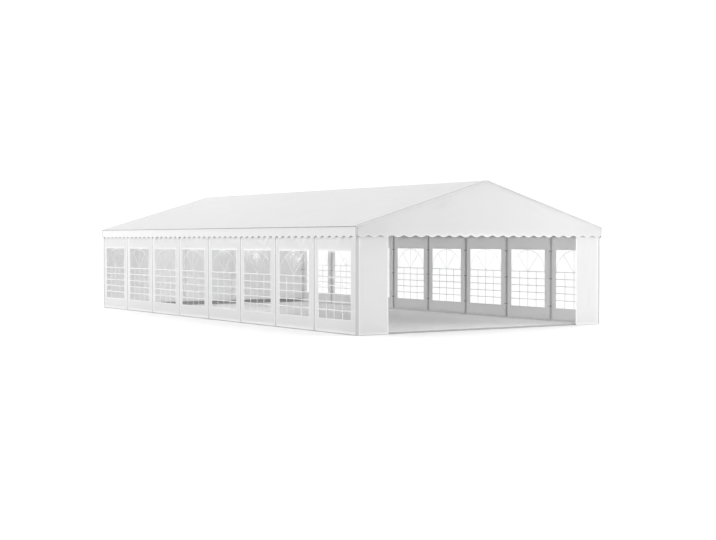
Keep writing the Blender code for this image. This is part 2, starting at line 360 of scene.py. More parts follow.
def cloth_finish(name, colour, glow, roughness):
    """Coated cloth: a satin white over a fine scrim, with faint clouds, that lets some light through.

    Where two layers lie on each other, at hems and seams, it is a little whiter and lets less light through.
    """
    finish = Finish(name, IOR=1.46)
    where = finish.cut()
    cloud = finish.noise(where, 0.9, 3.0)
    grain = finish.noise(where, 35.0, 2.0)
    double = finish.number("ShaderNodeAttribute", {}, "Fac", attribute_name="layers")
    single = finish.blend(cloud, colour, shaded(colour, 0.965))
    finish.set(
        Base_Color=finish.blend(double, single, shaded(colour, 1.02)),
        Roughness=cloud * 0.10 + grain * 0.08 + roughness,
    )
    soft = finish.bump(cloud, 0.25, 0.004)
    finish.set(Normal=finish.bump(weave(finish, where) + grain * 0.6, 0.10, 0.0003, soft))
    through = finish.node("ShaderNodeBsdfTranslucent", {"Color": (*colour, 1)})
    finish.mix(glow - double * (0.45 * glow), through)


def film_finish(name, colour):
    """Clear window film: a faint haze in clouds, under a gloss that grows at a glancing angle."""
    finish = Finish(name, IOR=1.5)
    where = finish.cut()
    cloud = finish.noise(where, 2.2, 2.0)
    ripple = finish.bump(finish.noise(where, 7.0, 2.0), 0.25, 0.004)
    finish.shader.inputs["Base Color"].default_value = (*colour, 1)
    finish.set(Roughness=cloud * 0.08 + 0.12, Alpha=cloud * 0.03 + 0.01, Normal=ripple)
    inputs = {"Color": (1, 1, 1, 1), "Roughness": 0.16, "Normal": ripple}
    gloss = finish.node("ShaderNodeBsdfAnisotropic", inputs)
    glance = finish.number("ShaderNodeLayerWeight", {"Blend": 0.5}, "Facing")
    finish.mix(glance**5.0 * 0.8 + 0.01, gloss)


def print_finish(name, colour):
    """White ink printed on the film, thin enough to glow against the light, with a slight mottle."""
    finish = Finish(name, Roughness=0.42)
    mottle = finish.noise(finish.cut(), 60.0)
    finish.set(Base_Color=finish.blend(mottle, colour, shaded(colour, 0.93)))
    finish.mix(0.32, finish.node("ShaderNodeBsdfTranslucent", {"Color": (*colour, 1)}))


def steel_finish(name, colour):
    """Galvanised steel: crystals of slightly different greys, and a dull patchy gloss."""
    finish = Finish(name, Metallic=0.3)
    where = finish.place()
    crystals = finish.number("ShaderNodeTexVoronoi", {"Vector": where, "Scale": 90.0}, "Color", feature="F1")
    patches = finish.noise(where, 6.0, 3.0)
    tone = finish.number("ShaderNodeRGBToBW", {0: crystals})
    finish.set(
        Base_Color=finish.blend(tone * 0.6 + patches * 0.4, shaded(colour, 0.72), shaded(colour, 1.25)),
        Roughness=tone * 0.14 + patches * 0.16 + 0.34,
        Normal=finish.bump(tone, 0.12, 0.0004),
    )


def dull_finish(name, colour, roughness, scale=400.0):
    """Moulded plastic or grey webbing with a fine grain."""
    finish = Finish(name)
    grain = finish.noise(finish.place(), scale)
    finish.set(
        Base_Color=finish.blend(grain, colour, shaded(colour, 0.85)),
        Roughness=grain * 0.1 + roughness,
        Normal=finish.bump(grain, 0.1, 0.0003),
    )


def floor_finish(name, glow):
    """A plain white studio floor, lit a little from below, with a barely visible unevenness."""
    finish = Finish(name, Roughness=0.85, Emission_Color=(1, 1, 1, 1), Emission_Strength=glow)
    cloud = finish.noise(finish.place(), 0.3)
    finish.set(Base_Color=finish.blend(cloud, (0.95, 0.95, 0.95), (0.94, 0.94, 0.94)))


def grid(first, second):
    """The two places of each point of a grid, one array for each."""
    return np.meshgrid(first, second, indexing="ij")


def join(*places):
    """Points from their places along each axis, each of them an array or a number."""
    return np.stack(np.broadcast_arrays(*places), -1)


def unit(vectors):
    """Vectors drawn out to a length of 1."""
    return vectors / np.linalg.norm(vectors, axis=-1, keepdims=True)


def lines(start, stop, step, *edges):
    """Grid lines from start to stop about a step apart, with one exactly on each edge that lies between."""
    even = np.linspace(start, stop, max(2, int(round((stop - start) / step)) + 1))
    edges = np.array([edge for edge in edges if start < edge < stop])
    if not len(edges):
        return even
    room = np.abs(even[:, None] - edges).min(1)
    room[[0, -1]] = step
    return np.unique(np.concatenate((even[room > 0.25 * step], edges)).round(6))


def step_up(distance, width=FOOT):
    """From 0 where the distance is negative to 1 past the width, in a straight ramp."""
    return np.clip(distance / width, 0, 1)


def crease(u, v, start, end, width, height):
    """A straight fold: a bell curve across it, which swells and fades like a sine from end to end."""
    run = np.subtract(end, start)
    along = ((u - start[0]) * run[0] + (v - start[1]) * run[1]) / (run @ run)
    aside = ((u - start[0]) * run[1] - (v - start[1]) * run[0]) / np.hypot(*run)
    return height * np.sin(np.pi * np.clip(along, 0, 1)) * np.exp(-((aside / width) ** 2))


def ripples(seed, shortest, longest, count=7):
    """A function of two positions: the mean of sine waves with seeded directions, lengths and phases."""
    draw = np.random.default_rng(seed)
    turn = draw.uniform(0, np.pi, count)
    waves = TAU / draw.uniform(shortest, longest, count)
    phase = draw.uniform(0, TAU, count)

    def height(u, v):
        total = 0.0
        for k in range(count):
            total = total + np.sin(waves[k] * (u * np.cos(turn[k]) + v * np.sin(turn[k])) + phase[k])
        return total / np.sqrt(count)

    return height


def cloth_part(points, cloth, cut, outward, layers=0.0, keep=None):
    """A closed sheet: the grid moved half the thickness each way along its normals, with a rim at free edges.

    Points is a grid of places, cut holds the two places of each on the flat cut, and outward is the way that
    the first face looks. Layers is 1 where the cloth lies double, and keep says which cells there are.
    """
    normal = unit(np.cross(np.gradient(points, axis=0), np.gradient(points, axis=1)))
    turned = (normal @ np.asarray(outward, float)).sum() < 0
    if turned:
        normal = -normal
    layers = np.broadcast_to(layers, points.shape[:2])
    half = (cloth / 2 * (1 + DOUBLE * layers))[..., None] * normal
    count = layers.size
    index = np.arange(count).reshape(layers.shape)
    quads = np.stack((index[:-1, :-1], index[1:, :-1], index[1:, 1:], index[:-1, 1:]), -1)
    quads = quads.reshape(-1, 4) if keep is None else quads[keep]
    if turned:
        quads = quads[:, ::-1]
    edges = np.concatenate([quads[:, [k, (k + 1) % 4]] for k in range(4)])
    _, first, uses = np.unique(edges.min(1) * count + edges.max(1), return_index=True, return_counts=True)
    rim = edges[first[uses == 1]]
    rim = np.stack((rim[:, 1], rim[:, 0], rim[:, 0] + count, rim[:, 1] + count), 1)
    faces = np.concatenate((quads, quads[:, ::-1] + count, rim))
    places = np.concatenate(((points + half).reshape(-1, 3), (points - half).reshape(-1, 3)))
    flat = np.tile(join(*cut).reshape(-1, 2), (2, 1))
    double = np.tile(layers.ravel(), 2)
    used, faces = np.unique(faces, return_inverse=True)
    return places[used], faces.reshape(-1, 4), flat[used], double[used]


def ringed_part(rings, run, radius):
    """A closed bar with flat ends, from rings of an even number of points. Run says how far along each is."""
    sides = rings.shape[1]
    index = np.arange(rings.shape[0] * sides).reshape(-1, sides)
    after = np.roll(index, -1, 1)
    around = np.stack((index[:-1], after[:-1], after[1:], index[1:]), -1).reshape(-1, 4)
    step = np.arange(sides // 2 - 1)
    end = np.stack((step, step + 1, sides - 2 - step, sides - 1 - step), 1)
    faces = np.concatenate((around, index[0][end[:, ::-1]], index[-1][end]))
    girth = np.linspace(0, TAU, sides, endpoint=False) * radius
    flat = join(np.asarray(run)[:, None], girth).reshape(-1, 2)
    return rings.reshape(-1, 3), faces, flat, np.zeros(len(flat))


def length_along(path):
    """How far along a path each of its points lies."""
    return np.concatenate(([0], np.cumsum(np.linalg.norm(np.diff(path, axis=0), axis=1))))


def swept_part(path, radius, sides=8):
    """A round bar: a circle at right angles to each point of the path."""
    ahead = unit(np.gradient(path, axis=0))
    aside = unit(np.cross(ahead, np.eye(3)[np.argmin(np.ptp(path, axis=0))]))
    above = np.cross(ahead, aside)
    turn = np.linspace(0, TAU, sides, endpoint=False)[:, None]
    rings = path[:, None] + radius * (np.cos(turn) * aside[:, None] + np.sin(turn) * above[:, None])
    return ringed_part(rings, length_along(path), radius)


def turned_part(profile, centre, axis, sides=12):
    """A turned piece: each (radius, height) of the profile, low end first, goes round the axis."""
    axis = unit(axis)
    aside = unit(np.cross(axis, np.eye(3)[np.argmin(np.abs(axis))]))
    above = np.cross(axis, aside)
    profile = np.asarray(profile, float)
    turn = np.linspace(0, TAU, sides, endpoint=False)[:, None]
    ring = np.cos(turn) * aside + np.sin(turn) * above
    rings = np.asarray(centre) + profile[:, 0, None, None] * ring + profile[:, 1, None, None] * axis
    return ringed_part(rings, profile[:, 1], profile[:, 0].max())


def add_object(name, data):
    """A new object in the scene."""
    made = bpy.data.objects.new(name, data)
    bpy.context.scene.collection.objects.link(made)
    return made


def add_piece(name, parts, finish, *replaced):
    """A piece on the root body, from parts that are each their places, faces, flat places and layers."""
    starts = np.cumsum([0] + [len(part[0]) for part in parts[:-1]])
    places, flat, layers = (np.concatenate([part[k] for part in parts]).astype(np.float32) for k in (0, 2, 3))
    faces = np.concatenate([part[1] + start for part, start in zip(parts, starts)]).astype(np.int32)
    mesh = bpy.data.meshes.new(name)
    mesh.vertices.add(len(places))
    mesh.vertices.foreach_set("co", places.ravel())
    mesh.loops.add(faces.size)
    mesh.loops.foreach_set("vertex_index", faces.ravel())
    mesh.polygons.add(len(faces))
    mesh.polygons.foreach_set("loop_start", np.arange(0, faces.size, 4, dtype=np.int32))
    mesh.uv_layers.new(name="cut")
    mesh.uv_layers["cut"].data.foreach_set("uv", flat[faces.ravel()].ravel())
    mesh.attributes.new("layers", "FLOAT", "POINT").data.foreach_set("value", layers)
    mesh.update(calc_edges=True)
    mesh.shade_smooth()
    mesh.set_sharp_from_angle(angle=np.radians(38))
    mesh.materials.append(material(finish))
    piece = add_object(name, mesh)
    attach(piece, "root")
    if replaced:
        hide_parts(*replaced)
    return piece


def material(name):
    """One of the marquee's materials, made when it is first asked for."""
    if name not in bpy.data.materials:
        colours = bpy.context.scene.marquee_finishes
        makers = {
            "wall_cloth": (cloth_finish, colours.wall, colours.wall_glow, 0.28),
            "roof_cloth": (cloth_finish, colours.roof, colours.roof_glow, 0.44),
            "window_film": (film_finish, colours.film),
            "printed_bars": (print_finish, (0.92, 0.92, 0.92)),
            "galvanised_tube": (steel_finish, colours.steel),
            # Half as light: painted shade on the front ground bar.
            "weathered_tube": (steel_finish, shaded(colours.steel, 0.5)),
            # Painted shade on the eave welt and the roof's edge tape, and the zip teeth's own grey.
            "welt": (dull_finish, colours.welt, 0.45),
            # Painted shade: heading tapes behind the valance's notches and the grey corner flaps.
            "grey_tape": (dull_finish, colours.tape, 0.5),
            # The real webbing of straps and hangers; on the closing strips its grey is painted shade in the
            # gaps.
            "grey_webbing": (dull_finish, (0.46, 0.46, 0.46), 0.7, 900.0),
            # Near black: painted shade at the foot of the back wall.
            "dark_skirt": (dull_finish, (0.12, 0.12, 0.12), 0.6),
            "black_plastic": (dull_finish, (0.03, 0.03, 0.03), 0.4),
            "studio_floor": (floor_finish, bpy.context.scene.marquee_stage.floor_glow),
        }
        maker, *settings = makers[name]
        maker(name, *settings)
    return bpy.data.materials[name]


def slopes(x):
    """The middle of the tight roof cover, which falls with the root of x squared plus a small square."""
    return RIDGE_TOP - COVER_DROP / 2 - PITCH * np.sqrt(x**2 + RIDGE_ROUNDING**2)


def roof_height(x, y):
    """The middle of the roof cover: two slopes rounded at the ridge, which sag between rails and frames.

    The sag is a squared sine between one rail and the next times a squared sine between one frame and the
    next. Folds run down from the ends of the ridge to the purlins.
    """
    lift = 0.004 * np.exp(-((x / 0.1) ** 2))
    across = np.sin(np.pi * np.clip(np.abs(x), 0, HALF_SPAN) / PURLIN_X) ** 2
    along = np.sin(np.pi * (y + HALF_LENGTH) / BAY) ** 2
    sag = across * (0.0012 + 0.0045 * along)
    relief = 0.0008 * ripples(3, 0.5, 1.6)(x, y)
    for side in (-1, 1):
        for end in (-1, 1):
            for near, far, width, height in ROOF_FOLDS:
                start = (side * near[0], end * (HALF_LENGTH - near[1]))
                stop = (side * far[0], end * (HALF_LENGTH - far[1]))
                relief = relief + crease(x, y, start, stop, width, height)
    inside = step_up(ROOF_X - np.abs(x), 0.3) * step_up(ROOF_Y - np.abs(y), 0.1)
    return slopes(x) + lift - sag + relief * inside


def under_roof(x):
    """The height just under the visible roof cover at the gables."""
    return slopes(x) - 0.0012


def on_roof(x, y, lift, cloth, layers=0.0):
    """A sheet that lies that far above the middle of the roof cover, with its cut along the slope."""
    return cloth_part(join(x, y, roof_height(x, y) + lift), cloth, (x * SLOPE, y), (0, 0, 1), layers)


def roof_lines(reach, *edges):
    """Grid lines across the roof, closer together at the ridge."""
    ridge = np.array((0.012, 0.03, 0.06))
    return lines(-reach, reach, 0.062, 0, *ridge, *-ridge, *edges)


def roof_cover(sizes):
    """The cover: double along its hems and at a seam over each inner frame."""
    seam = 0.02
    frames = POST_LINES[1:-1]
    seams = np.concatenate([frames + side * (seam + foot) for side in (-1, 1) for foot in (0, FOOT)])
    hems = np.array((sizes.hem, sizes.hem + FOOT))
    across = roof_lines(ROOF_X, *(ROOF_X - hems), *(hems - ROOF_X))
    x, y = grid(across, lines(-ROOF_Y, ROOF_Y, 0.075, *seams, *(ROOF_Y - hems), *(hems - ROOF_Y)))
    near_seam = np.abs(y[..., None] - frames).min(-1)
    edge = np.maximum(np.abs(x) - ROOF_X, np.abs(y) - ROOF_Y) + sizes.hem + FOOT
    layers = np.maximum(step_up(edge), step_up(seam + FOOT - near_seam))
    return on_roof(x, y, 0.0, sizes.cloth, layers)


def edge_fold(sizes, across, end):
    """The cover's edge where it turns down over a gable."""
    x, down = grid(across, (0.0012, 0.012, 0.024))
    y = end * (ROOF_Y - 0.0012) + 0 * x
    return cloth_part(join(x, y, roof_height(x, y) - down), sizes.cloth, (x * SLOPE, down), (0, end, 0))


class MARQUEE_OT_roof(bpy.types.Operator):
    """Lay the roof cover over the rails: one curved sheet with welded seams, hems and a grey tape of painted
    shade along the open gable's edge
    """

    bl_idname = "marquee.roof"
    bl_label = "Roof cover"

    def execute(self, context):
        sizes = context.scene.marquee_sizes
        cover = add_piece("roof_sheet", [roof_cover(sizes)], "roof_cloth", "roof_cover")
        across = roof_lines(ROOF_X - 0.003)
        x, y = grid(across, -ROOF_Y + 0.001 + np.linspace(0, sizes.edge_shade_tape, 3))
        # The grey tape along the front edge is painted shade.
        tape = add_piece("roof_edge_shade_tape", [on_roof(x, y, 0.0019, 0.0008)], "welt")
        folds = [edge_fold(sizes, across, end) for end in (-1, 1)]
        fold = add_piece("roof_edge_folds", folds, "roof_cloth")
        return {"FINISHED"}


def scalloped_grid(half, pitch, depth, tip, top, rows):
    """A scalloped sheet's grid: places across, shares of the height from 0 to 1, heights, and lobes.

    Its lower edge is a row of soft waves, the cosine's size to a power, with one wave's lowest point in the
    middle. The height goes from there to the top in even steps, with one extra row for the hem.
    """
    lobe_cells = 14
    levels = np.concatenate(([0, 0.045, 0.052], np.linspace(0.12, 1, rows)))
    u, v = grid(np.linspace(-half, half, int(2 * half / pitch * lobe_cells) + 1), levels)
    lobe = np.abs(np.cos(np.pi * u / pitch)) ** 1.5
    bottom = tip + depth * (1 - lobe)
    return u, v, bottom + (top(u) - bottom) * v, lobe


def flutter(seed, free, u, z, lobe):
    """How far a scalloped sheet stands out where it hangs free: it waves, and its lobes curl."""
    return 0.0022 * free**1.5 * ripples(seed, 0.4, 1.1)(u, 0.3 * z) + 0.002 * free**3 * lobe


def side_valance(sizes, name, side, seed):
    """A long valance with a grey welt where it meets the roof cover; the welt's grey is painted shade under
    the roof's edge.
    """
    half = GABLE_Y - 0.018
    top = EAVE_TOP - COVER_DROP + PITCH * (ROOF_X - VALANCE_X) - 0.0015
    pitch = BAY / sizes.lobes
    u, v, z, lobe = scalloped_grid(half, pitch, sizes.scallop, VALANCE_TIP, lambda u: top + 0 * u, 6)
    free = (1 - v) * step_up(half - np.abs(u), 0.3)
    points = join(side * (VALANCE_X + flutter(seed, free, u, v, lobe)), u, z)
    part = cloth_part(points, sizes.cloth, (u, z), (side, 0, 0), step_up(0.05 - v, 0.007))
    piece = add_piece(f"eave_valance_{name}", [part], "roof_cloth", f"valance_{name}")
    x = side * (VALANCE_X + 0.0009 + sizes.bead)
    z = top - PITCH * (0.002 + sizes.bead) - sizes.bead
    welt = swept_part(join(x, np.linspace(-half, half, 60), z), sizes.bead)
    bead = add_piece(f"eave_shade_welt_{name}", [welt], "welt")
    flat = (2 * half, top - VALANCE_TIP)
    area = float(flat[0] * (flat[1] - 0.45 * sizes.scallop))


def gable_sheet(sizes, name, side, seed):
    """A triangular sheet with scallops, drawn tight, with slack folds beside the slopes."""
    half = VALANCE_X + 0.0015
    pitch = 2 * half / sizes.gable_lobes
    u, v, z, lobe = scalloped_grid(half, pitch, sizes.scallop, VALANCE_TIP + 0.012, under_roof, 26)
    held = step_up(half - np.abs(u), 0.3)
    free = np.clip((VALANCE_TIP + 0.45 - z) / 0.45, 0, 1)
    slack = np.sin(np.pi / 2 * np.clip((under_roof(u) - z) / 0.35, 0, 1))
    relief = flutter(seed, free, u, z, lobe)
    relief += 0.003 * slack * ripples(seed + 5, 0.7, 2.2)(u, z)
    gathers = np.exp(-(((z - VALANCE_TIP - 0.13) / 0.03) ** 2))
    relief += 0.0012 * gathers * ripples(seed + 9, 0.12, 0.35)(u, 0 * z)
    for start, end, width, height in GABLE_FOLDS:
        relief += crease(u, z, start, end, width, height) * slack
    points = join(u, side * (GABLE_Y + relief * held), z)
    part = cloth_part(points, sizes.cloth, (u, z), (0, side, 0), step_up(0.05 - v, 0.007))
    piece = add_piece(f"gable_sheet_{name}", [part], "wall_cloth", f"gable_{name}")
    tall = float(under_roof(0.0) - VALANCE_TIP)
    low = float(under_roof(half) - VALANCE_TIP)


class MARQUEE_OT_valances(bpy.types.Operator):
    """Hang the scalloped valances under the eaves and the scalloped gable sheets under the roof's ends"""

    bl_idname = "marquee.valances"
    bl_label = "Valances and gables"

    def execute(self, context):
        sizes = context.scene.marquee_sizes
        side_valance(sizes, "left", -1, 20)
        side_valance(sizes, "right", 1, 21)
        gable_sheet(sizes, "front", -1, 30)
        gable_sheet(sizes, "back", 1, 31)
        return {"FINISHED"}


def panel_drape(seed, width, height):
    """A function of a place on a hung panel, from its lower corner: how far it stands out from its plane.

    A broad swell, shallow folds that fall from the hangers and die away, and seeded ripples, all of them held
    to nothing at the posts.
    """
    draw = np.random.default_rng(seed)
    swell = draw.uniform(-0.004, 0.007)
    lean = draw.uniform(-0.3, 0.3)
    shift = draw.uniform(0, TAU)
    broad = ripples(seed + 1000, 0.6, 1.7)
    fine = ripples(seed + 2000, 0.25, 0.6)

    def relief(u, v):
        held = np.clip(np.sin(np.pi * np.clip(u / width, 0, 1)), 0, 1) ** 0.7
        rise = np.clip(v / height, 0, 1)
        down = height - v
        out = swell * np.sin(np.pi * rise) * (1 + lean * np.cos(np.pi * u / width))
        out = out + 0.0020 * np.cos(TAU * u / 0.42 + shift) * np.exp(-down / 0.55) * step_up(down, 0.1)
        out = out + 0.0020 * broad(u, v) * step_up(down, 0.3) + 0.0006 * fine(u, v) * step_up(down, 0.2)
        out = out + 0.0030 * broad(u, 0.4 * v) * np.exp(-v / 0.3)
        return held * out

    return relief


def hemmed_grid(sizes, width, height, step, sides=(), levels=()):
    """A panel's grid, with lines along its hems and the other edges, and its layers, double in the hems."""
    hems = np.array((sizes.hem, sizes.hem + FOOT))
    across = lines(0, width, step[0], *hems, *(width - hems), *sides)
    u, v = grid(across, lines(0, height, step[1], *hems, *(height - hems), *levels))
    rim = np.minimum(np.minimum(u, width - u), np.minimum(v, height - v))
    return u, v, step_up(sizes.hem + FOOT - rim)


def heading_grid(sizes, width, base):
    """The places across and up a panel of the grey tape sewn on its head, behind the valance's lobes; its
    grey is painted shade in the notches between the lobes.
    """
    across = np.linspace(0.004, width - 0.004, int(width / 0.04) + 2)
    return grid(across, VALANCE_TIP + np.linspace(0.3, 1.2, 3) * sizes.scallop - base)


class SidePanel:
    """A wall panel of one bay: its corners, its drape, and its window with the folds of the film in it.

    The panels at the corners reach round the corner post, to the plane of the end walls.
    """

    def __init__(self, sizes, side, number):
        self.side = side
        self.name = f"{'left' if side < 0 else 'right'}_{number}"
        low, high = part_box(f"wall_{self.name}")
        reach = END_Y + 0.0006
        self.start = -reach if number == 1 else POST_LINES[number - 1] - GAP_BACK
        stop = reach if number == BAYS else POST_LINES[number] - GAP_FRONT
        self.width = stop - self.start
        self.base = low.z + FOOT_GAP
        self.height = high.z - self.base
        self.left = POST_LINES[number - 1] + (BAY - sizes.window_width) / 2 - self.start
        self.right = self.left + sizes.window_width
        self.bottom = sizes.window_bottom - self.base
        self.top = sizes.window_top - self.base
        seed = 100 * number + (50 if side > 0 else 0)
        self.slack = 1.0 if side < 0 and number in SLACK_BAYS else 0.3
        self.base_drape = panel_drape(seed, self.width, self.height)
        self.waves = ripples(seed + 7, 0.28, 0.8)
        self.folds = self.seeded_folds(np.random.default_rng(seed + 11))

    def seeded_folds(self, draw):
        """Folds of the film that fan out below the window's top, each as start, end, width and height."""
        folds = []
        for _ in range(int(5 + 9 * self.slack)):
            start = np.array((draw.uniform(self.left, self.right), self.top + draw.uniform(-0.25, 0.05)))
            lean = draw.uniform(-1.1, 1.1)
            end = start + draw.uniform(0.25, 0.75) * np.array((np.sin(lean), -np.cos(lean)))
            width = draw.uniform(0.012, 0.024)
            height = draw.uniform(0.0008, 0.0026) * (0.4 + 0.9 * self.slack)
            folds.append((start, end, width, height))
        return folds

    def drape(self, u, v):
        """How far the cloth stands out: its drape, and in the slack bays two folds from the hangers down."""
        out = self.base_drape(u, v)
        if self.slack > 0.5:
            centre = (self.left + self.right) / 2
            for start, end in (((0.45, 0.05), (-0.45, -0.55)), ((-0.75, 0.0), (-0.30, -0.60))):
                start = (centre + start[0], self.height - 0.15 + start[1])
                end = (centre + end[0], self.height - 0.05 + end[1])
                out = out + crease(u, v, start, end, 0.040, 0.009)
        return out

    def away(self, u, v):
        """How far a place lies outside the window's edge, negative inside it."""
        across = np.maximum(self.left - u, u - self.right)
        return np.maximum(across, np.maximum(self.bottom - v, v - self.top))

    def wrinkle(self, u, v):
        """How far the film stands out from the cloth's drape: ripples and folds, none at the welded edge."""
        out = 0.0012 * self.waves(u, v)
        for start, end, width, height in self.folds:
            out = out + crease(u, v, start, end, width, height)
        return step_up(-self.away(u, v), 0.18) * out

    def points(self, u, v, lift=0.0):
        """The places of a grid that lies that far outside the panel's cloth."""
        return join(self.side * (WALL_X + (self.drape(u, v) + lift)), self.start + u, self.base + v)


def side_panel(sizes, panel):
    """One panel: a grid without the window's cells, double along the hems and round the window."""
    weld = 0.028
    welds = np.array((weld, weld + FOOT))
    sides = (panel.left, panel.right, *(panel.left - welds), *(panel.right + welds))
    levels = (panel.bottom, panel.top, *(panel.bottom - welds), *(panel.top + welds))
    u, v, layers = hemmed_grid(sizes, panel.width, panel.height, (0.055, 0.06), sides, levels)
    away = panel.away(u, v)
    layers = np.maximum(layers, step_up(weld + FOOT - away))
    keep = (away[:-1, :-1] + away[1:, 1:]) / 2 > 1e-5
    part = cloth_part(panel.points(u, v), sizes.cloth, (u, v), (panel.side, 0, 0), layers, keep)
    piece = add_piece(f"panel_{panel.name}", [part], "wall_cloth", f"wall_{panel.name}")
    area = panel.width * panel.height - sizes.window_width * (sizes.window_top - sizes.window_bottom)


class MARQUEE_OT_side_walls(bpy.types.Operator):
    """Hang one hemmed wall panel with a window opening in each bay of both long sides"""

    bl_idname = "marquee.side_walls"
    bl_label = "Side walls"

    def execute(self, context):
        sizes = context.scene.marquee_sizes
        tapes = []
        for side in (-1, 1):
            for number in range(1, BAYS + 1):
                panel = SidePanel(sizes, side, number)
                side_panel(sizes, panel)
                # The heading tape's grey is painted shade behind the valance's notches.
                u, v = heading_grid(sizes, panel.width, panel.base)
                points = panel.points(u, v, TAPE_LIFT)
                tapes.append(cloth_part(points, TAPE, (u, v), (side, 0, 0)))
        add_piece("heading_shade_tapes_sides", tapes, "grey_tape")
        return {"FINISHED"}


def window_pane(panel, lap):
    """A pane that laps over the opening's edge, just inside the panel."""
    across = lines(panel.left - lap, panel.right + lap, 0.024)
    u, v = grid(across, lines(panel.bottom - lap, panel.top + lap, 0.026))
    points = panel.points(u, v, panel.wrinkle(u, v) - FILM_INSET)
    return cloth_part(points, FILM, (u, v), (panel.side, 0, 0))


def window_bars(sizes, panel):
    """Printed lines: an elliptical arch on a spring line, three rays to it, and a grid of bars below."""
    centre = (panel.left + panel.right) / 2
    spring = sizes.spring - panel.base
    half = sizes.window_width / 2 - 0.015
    rise = sizes.window_top - sizes.spring - 0.02
    turn = np.linspace(0, np.pi, 81)
    arch = join(centre + half * np.cos(turn), spring + rise * np.sin(turn))
    strokes = [(arch, sizes.ray, 0.0020)]
    for angle in np.radians((52, 90, 128)):
        tip = (centre + half * np.cos(angle), spring + rise * np.sin(angle))
        strokes.append((np.linspace((centre, spring), tip, 28), sizes.ray, 0.0022))
    for drop in range(5):
        level = spring - drop * sizes.bar_step
        path = np.linspace((panel.left, level), (panel.right, level), 65)
        strokes.append((path, sizes.bar, 0.0016))
    for share in (0.25, 0.5, 0.75):
        place = panel.left + share * sizes.window_width
        path = np.linspace((place, panel.bottom), (place, spring), 44)
        strokes.append((path, sizes.fine_bar, 0.0018))
    return [ink_stroke(panel, *stroke) for stroke in strokes]


def ink_stroke(panel, path, width, lift):
    """A ribbon of ink along a path on the film: the path moved half the width to each side."""
    ahead = unit(np.gradient(path, axis=0))
    aside = join(-ahead[:, 1], ahead[:, 0]) * width / 2
    flat = np.stack((path - aside, path + aside), 1)
    u = np.clip(flat[..., 0], panel.left + 0.001, panel.right - 0.001)
    v = np.clip(flat[..., 1], panel.bottom + 0.001, panel.top - 0.001)
    points = panel.points(u, v, panel.wrinkle(u, v) - FILM_INSET + FILM / 2 + lift)
    return cloth_part(points, INK, (u, v), (panel.side, 0, 0))


class MARQUEE_OT_windows(bpy.types.Operator):
    """Weld a pane of clear film behind each opening and print the arch, rays and bars on it"""

    bl_idname = "marquee.windows"
    bl_label = "Windows"

    def execute(self, context):
        sizes = context.scene.marquee_sizes
        lap = 0.02
        wide = sizes.window_width + 2 * lap
        tall = sizes.window_top - sizes.window_bottom + 2 * lap
        for side, name in ((-1, "left"), (1, "right")):
            panels = [SidePanel(sizes, side, number) for number in range(1, BAYS + 1)]
            panes = [window_pane(panel, lap) for panel in panels]
            strokes = [part for panel in panels for part in window_bars(sizes, panel)]
            film = add_piece(f"window_panes_{name}", panes, "window_film", f"window_film_{name}")
            ink = add_piece(f"window_bars_{name}", strokes, "printed_bars")
            area = BAYS * wide * tall
        return {"FINISHED"}


def end_panel(sizes, node, name, folds, seed):
    """A plain hemmed panel. A front corner's free inner edge curls in, and waves a little."""
    low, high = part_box(node)
    start, stop = low.x, high.x
    side = np.sign(low.y)
    if node == "front_corner_left":
        stop = -sizes.opening_left
    if node == "front_corner_right":
        start = sizes.opening_right
    width = stop - start
    base = low.z + (FOOT_GAP if side > 0 else 0)
    height = high.z - base
    drape = panel_drape(seed, width, height)

    def places(u, v, lift):
        out = drape(u, v) + lift
        shift = 0.0
        if side < 0:
            free = u if start > 0 else width - u
            inward = 1 if start < 0 else -1
            out = out - 0.010 * np.exp(-free / 0.05) * np.sin(np.pi * np.clip(v / height, 0, 1)) ** 0.5
            shift = inward * 0.003 * ripples(seed + 3, 0.35, 0.9)(0 * v, v) * np.exp(-free / 0.15)
        for begin, end, wide, tall in folds:
            begin = (begin[0] - start, begin[1] - base)
            end = (end[0] - start, end[1] - base)
            out = out + crease(u, v, begin, end, wide, tall)
        return join(start + u + shift, side * (END_Y + out), base + v)

    u, v, layers = hemmed_grid(sizes, width, height, (0.03, 0.05))
    part = cloth_part(places(u, v, 0.0), sizes.cloth, (u, v), (0, side, 0), layers)
    piece = add_piece(name, [part], "wall_cloth", node)
    # The heading tape's grey is painted shade behind the gable sheet's notches.
    u, v = heading_grid(sizes, width, base)
    return cloth_part(places(u, v, TAPE_LIFT), TAPE, (u, v), (0, side, 0))


def door_zips():
    """A zip on each side of the door curtain: a tape over the gap, a row of teeth and a slider."""
    seam = (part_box("back_door_curtain")[1].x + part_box("back_wall_right")[0].x) / 2
    tooth = ((0.0015, -0.003), (0.0035, -0.002), (0.0035, 0.002), (0.0015, 0.003))
    slider = ((0.007, 0), (0.008, 0.004), (0.005, 0.007))
    tooth_pitch = 0.012
    half = 0.028
    u, v = grid(np.linspace(-half, half, 5), np.linspace(0.05, VALANCE_TIP + 0.12, 60))
    y = END_Y + 0.0028 + 0.0012 * np.cos(np.pi / 2 * u / half)
    tapes = []
    teeth = []
    for side in (-1, 1):
        tapes.append(cloth_part(join(side * seam + u, y, v), TAPE, (u, v), (0, 1, 0)))
        for height in np.arange(0.06, VALANCE_TIP + 0.10, tooth_pitch):
            teeth.append(turned_part(tooth, (side * seam, END_Y + 0.0044, height), (1, 0, 0), 6))
        teeth.append(turned_part(slider, (side * seam, END_Y + 0.006, 0.10), (0, 1, 0)))
    add_piece("door_zip_tapes", tapes, "wall_cloth")
    # The teeth take this same grey as their own colour.
    add_piece("door_zip_teeth", teeth, "welt")


